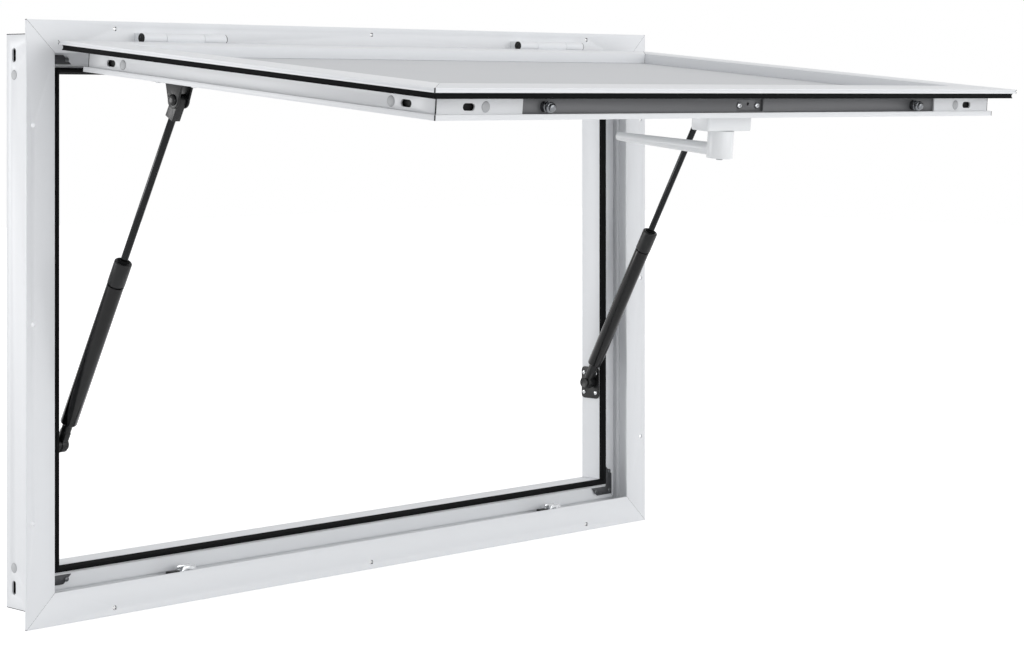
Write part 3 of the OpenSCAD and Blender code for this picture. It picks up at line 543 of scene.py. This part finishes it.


# The mitres of the leaf get the same dark film, painted shade in their hairline gaps.
for rail in ("leaf_rail_top", "leaf_rail_bottom"):
    film = mitre_shade_film(rail, 0.03 * mm, 1.3 * mm, swing.inverted())
    settle(swung(film), rail + "_sealer", "leaf", "black_rubber", mitre_gap_painted_shade)
for rail in ("leaf_rail_top", "leaf_rail_bottom", "leaf_rail_left", "leaf_rail_right"):
    softened(rail, coat_edge, "white_coat", white_powder_coat)
low, high = shut_box("leaf_rail_left")[0], shut_box("leaf_rail_right")[1]
# The leaf's cleats get the same black, painted shade seen through the leaf's slots.
leaf_cleat_leg, leaf_cleat_wide, leaf_cleat_deep = 66 * mm, 17 * mm, 13.6 * mm
leaf_cleat_in, leaf_cleat_behind = 26.5 * mm, 12.5 * mm
leaf_cleats = spread(cleat(leaf_cleat_leg, leaf_cleat_wide, leaf_cleat_deep),
                     corner_places(low, high, leaf_cleat_in, low.y + leaf_cleat_behind))
settle(swung(leaf_cleats), "leaf_corner_cleats", "leaf", "black_plastic", cleat_black_as_shade)
softened("hinge_knuckle_left", coat_edge, "white_coat", white_powder_coat)
softened("hinge_knuckle_right", coat_edge, "white_coat", white_powder_coat)
softened("leaf_plugs", 0.25 * mm, "grey_plastic", grey_plastic)

# The panel: a foam board between two smooth white plastic sheets, held all round by the beads of the
# rails. The sheet has a faint roll mark every few centimetres.
panel_sheet = surface("white_panel_sheet", "#CDCFD1", 0.5, grain=0.01, size=6, cloud=0.008)
nodes["leaf_panel"].data.materials.clear()
nodes["leaf_panel"].data.materials.append(panel_sheet)


# The leaf gasket: a hollow strip of black rubber on the inner side of the rim. It shows two lips with
# a channel between them.
gasket = merged_copy("leaf_seal")
gasket.matrix_world = swing.inverted()
bpy.ops.object.transform_apply(location=True, rotation=True)
low, high = shut_box("leaf_seal")
lip = 1.7 * mm
channel = 1.0 * mm


def on_the_outside(middle, normal):
    """True for the four side faces of the gasket that look away from the leaf."""
    return abs(normal.y) < 0.1 and (abs(middle.x) > high.x - 0.1 * mm or middle.z > high.z - 0.1 * mm
                                    or middle.z < low.z + 0.1 * mm)


pick(gasket, on_the_outside)
bpy.ops.mesh.inset(thickness=lip, use_boundary=True, use_even_offset=True)
bpy.ops.transform.shrink_fatten(value=-channel, use_even_offset=True)
bpy.ops.object.mode_set(mode="OBJECT")
break_edges(gasket, 0.5 * mm, steps=3)
settle(swung(gasket), "leaf_gasket", "leaf", "black_rubber", foam_rubber, "leaf_seal")

# Upper strut brackets: two ears on a plate, pressed from one sheet and dipped black. The plate is
# screwed to the inner side of the leaf, and a thick pin with two domed heads passes through the ears.
top_screw_in = 6.5 * mm
top_plate_t = 2 * mm
top_screw_places = []
top_pin_places = []
for side in ("left", "right"):
    softened("strut_leaf_bracket_" + side, 0.5 * mm, "black_steel", black_coat)
    low, high = shut_box("strut_leaf_bracket_" + side)
    middle_x = (low.x + high.x) / 2
    for z in (low.z + top_screw_in, high.z - top_screw_in):
        top_screw_places.append(swing @ facing((middle_x, low.y + top_plate_t, z), (0, 1, 0), 30))
top_screw_r, top_screw_h = 3.2 * mm, 1.6 * mm
settle(spread(pan_screw(top_screw_r, top_screw_h), top_screw_places),
       "strut_plate_screws", "leaf", "bright_steel", bright_zinc)
low, high = shut_box("strut_top_pins")
head_r = (high.z - low.z) / 2
pin_y, pin_z = (low.y + high.y) / 2, (low.z + high.z) / 2
head_t = 2.8 * mm
shank_r = 3 * mm
strut_low, strut_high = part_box("strut_rod_end_right")
strut_x = (strut_low.x + strut_high.x) / 2
pin_end = high.x - strut_x
top_pin = turned(((0.35 * head_r, -pin_end), (0.72 * head_r, -pin_end + 0.1 * head_t),
                  (0.93 * head_r, -pin_end + 0.38 * head_t), (head_r, -pin_end + 0.75 * head_t),
                  (head_r, head_t - pin_end), (shank_r, head_t - pin_end),
                  (shank_r, pin_end - head_t), (head_r, pin_end - head_t), (head_r, pin_end - 0.75 * head_t),
                  (0.93 * head_r, pin_end - 0.38 * head_t), (0.72 * head_r, pin_end - 0.1 * head_t),
                  (0.35 * head_r, pin_end)), 40)
for way in (-1, 1):
    top_pin_places.append(swing @ facing((way * strut_x, pin_y, pin_z), (1, 0, 0)))
settle(spread(top_pin, top_pin_places), "strut_top_rivets", "leaf", "black_steel", black_coat, "strut_top_pins")

# Gas struts: a dark hardened rod in a black enamelled tube. The rod ends in a block between the ears
# of the upper bracket, the tube in an eye with its pin beside the jamb. A cap with a groove and a
# wiper closes the upper end of the tube.
# Tube enamel: glossy black, lighter towards the sides of the tube, where it mirrors the white room.
tube_enamel = surface("black_tube_enamel", "#0C0C0D", 0.14, cloud=0.05, shine=0.3)
# Nitrided rod: ground, then hardened dark grey. Its mirror image is a little sharper than the tube's.
nitrided_rod = surface("nitrided_piston_rod", "#242526", 0.12, metal=0.9, cloud=0.05)
tube_r = 9.1 * mm
tube_in_cap = 12 * mm
groove_deep = 1.4 * mm
dimple_rim, dimple_deep = 2.4 * mm, 0.8 * mm
for side, way in (("left", -1), ("right", 1)):
    softened("strut_rod_end_" + side, 0.7 * mm, "black_steel", black_coat, steps=3)
    softened("strut_rod_" + side, 0.3 * mm, "rod_steel", nitrided_rod)
    softened("strut_cap_" + side, 0.4 * mm, "black_plastic", black_plastic)
    pivot = next(joint for joint in frame["joints"] if joint["name"] == "strut_pivot_" + side)
    slide = next(joint for joint in frame["joints"] if joint["name"] == "strut_slide_" + side)
    top, upward = Vector(pivot["pos_m"]), Vector(slide["axis"])

    def reach(node):
        """How far below the upper pivot a node of this strut begins and ends, along the strut."""
        ways = [(top - corner.co).dot(upward) for corner in nodes[node].data.vertices]
        return min(ways), max(ways)

    cap_from, cap_to = reach("strut_cap_" + side)
    tube_to = reach("strut_tube_" + side)[1]
    tube_l, bare_l = tube_to - cap_from - tube_in_cap, tube_to - cap_to
    tube = turned(((5.0 * mm, 0), (7.6 * mm, 0.1 * mm), (8.6 * mm, 0.5 * mm), (tube_r, 1.6 * mm),
                   (tube_r, bare_l - 2.4 * mm), (tube_r - groove_deep, bare_l - 2.0 * mm),
                   (tube_r - groove_deep, bare_l - 0.5 * mm), (tube_r, bare_l - 0.1 * mm), (tube_r, tube_l)), 64)
    tube.matrix_world = facing(top - upward * tube_to, upward)
    settle(tube, "strut_tube_drawn_" + side, "tube_" + side, "black_tube", tube_enamel, "strut_tube_" + side)
    wiper = turned(((6.4 * mm, -1.0 * mm), (6.4 * mm, 0.7 * mm), (5.9 * mm, 1.1 * mm), (5.2 * mm, 1.2 * mm),
                    (4.5 * mm, 2.2 * mm), (4.1 * mm, 2.4 * mm)), 48)
    wiper.matrix_world = facing(top - upward * cap_from, upward)
    settle(wiper, "strut_wiper_" + side, "tube_" + side, "black_rubber", foam_rubber)
    eye = merged_copy("strut_eye_" + side)
    low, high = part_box("strut_eye_" + side)
    inner_x = low.x if way > 0 else high.x
    pick(eye, lambda spot, normal: abs(normal.x) > 0.99 and abs(spot.x - inner_x) < 0.1 * mm)
    bpy.ops.mesh.inset(thickness=dimple_rim)
    bpy.ops.transform.translate(value=(way * dimple_deep, 0, 0))
    bpy.ops.object.mode_set(mode="OBJECT")
    break_edges(eye, 0.5 * mm, steps=3)
    settle(eye, "strut_eye_forged_" + side, "tube_" + side, "black_steel", black_coat, "strut_eye_" + side)

# The lock: a flat bar that slides behind the opening of the bottom rail, a driving plate on it, and
# two studs that hook into the keepers.
# Grey zinc: hot-dip plate, dull and even, a shade cooler than the coat round it.
grey_zinc = surface("grey_zinc_plate", "#6A6B6D", 0.5, metal=0.3, grain=0.005, size=0.8, cloud=0.02)
softened("lock_bar", 0.2 * mm, "zinc_steel", grey_zinc)
plate_low, plate_high = shut_box("drive_plate")
middle = (plate_low + plate_high) / 2
plate = merged_copy("drive_plate")
bpy.ops.object.select_all(action="DESELECT")
drill_r, drill_l = 1.7 * mm, 8 * mm
hole_off = Vector((0.3 * mm, -1.5 * mm, 0))
bpy.ops.mesh.primitive_cylinder_add(vertices=24, radius=drill_r, depth=drill_l)
drill = bpy.context.object
drill.matrix_world = swing @ facing(middle + hole_off, (0, 0, 1))
cut_away(plate, drill)
break_edges(plate, 0.2 * mm)
settle(plate, "drive_plate_drilled", "lock", "zinc_steel", grey_zinc, "drive_plate")
low, high = shut_box("lock_studs")
stud_r = (high.y - low.y) / 2
stud_y = (high.y + low.y) / 2
stud_h = high.z - low.z
stud_x = high.x - stud_r
stud_head_r = 4.0 * mm
stud_groove = 0.6 * mm
stud = turned(((0.3 * stud_r, 0), (3.4 * mm, 0.3 * mm), (stud_head_r, 1.2 * mm), (stud_head_r, 2.6 * mm),
               (3.4 * mm, 3.0 * mm), (stud_r - 0.5 * mm, 3.0 * mm), (stud_r, 3.5 * mm), (stud_r, 0.5 * stud_h),
               (stud_r - stud_groove, 0.5 * stud_h + 0.4 * mm), (stud_r - stud_groove, 0.5 * stud_h + 1.2 * mm),
               (stud_r, 0.5 * stud_h + 1.6 * mm), (stud_r, stud_h)), 48)
stud_places = [swing @ Matrix.Translation((way * stud_x, stud_y, low.z)) for way in (-1, 1)]
# Rollers: turned from free-cutting steel and plated, so each groove draws a dark and a light band.
turned_steel = surface("turned_plated_steel", "#77797C", 0.16, metal=1.0, cloud=0.04)
settle(spread(stud, stud_places), "lock_rollers", "lock", "bright_steel", turned_steel, "lock_studs")
screw_apart = 13.9 * mm
drive_screw_places = [swing @ facing((middle.x + way * screw_apart, middle.y, plate_low.z), (0, 0, -1), 25)
                      for way in (-1, 1)]
drive_screw_r, drive_screw_h = 3.4 * mm, 2.0 * mm
settle(spread(pan_screw(drive_screw_r, drive_screw_h), drive_screw_places),
       "drive_screws", "lock", "bright_steel", bright_zinc)

# The handle: a die-cast base on the inner side of the leaf, a hub that turns in it and a tapered
# lever, all enamelled in satin white, with a small grey cap over the fixing screw of the hub.
handle_coat = surface("white_satin_enamel", "#E8EAEB", 0.24, grain=0.005, size=1.2, cloud=0.01)
low, high = shut_box("handle_base")
middle = (low + high) / 2
bpy.ops.object.select_all(action="DESELECT")
bpy.ops.mesh.primitive_cube_add(size=1, location=middle, scale=high - low)
base = bpy.context.object
bpy.ops.object.transform_apply(location=True, scale=True)
pick(base, lambda spot, way: abs(way.y) > 0.9, "EDGE")
corner_round, face_round = 3 * mm, 1.8 * mm
bpy.ops.mesh.bevel(offset=corner_round, segments=5, affect="EDGES")
bpy.ops.object.mode_set(mode="OBJECT")
pick(base, lambda spot, way: way.y > 0.9)
bpy.ops.mesh.bevel(offset=face_round, segments=3, affect="EDGES")
bpy.ops.object.mode_set(mode="OBJECT")
settle(swung(base), "handle_base_casting", "leaf", "handle_coat", handle_coat, "handle_base")
lever = merged_copy("handle_lever")
break_edges(lever, 1.0 * mm, steps=3, above=40)
settle(lever, "handle_lever_casting", "handle", "handle_coat", handle_coat, "handle_lever")
softened("handle_cap", 0.5 * mm, "grey_plastic", grey_plastic, steps=3)

low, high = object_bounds()
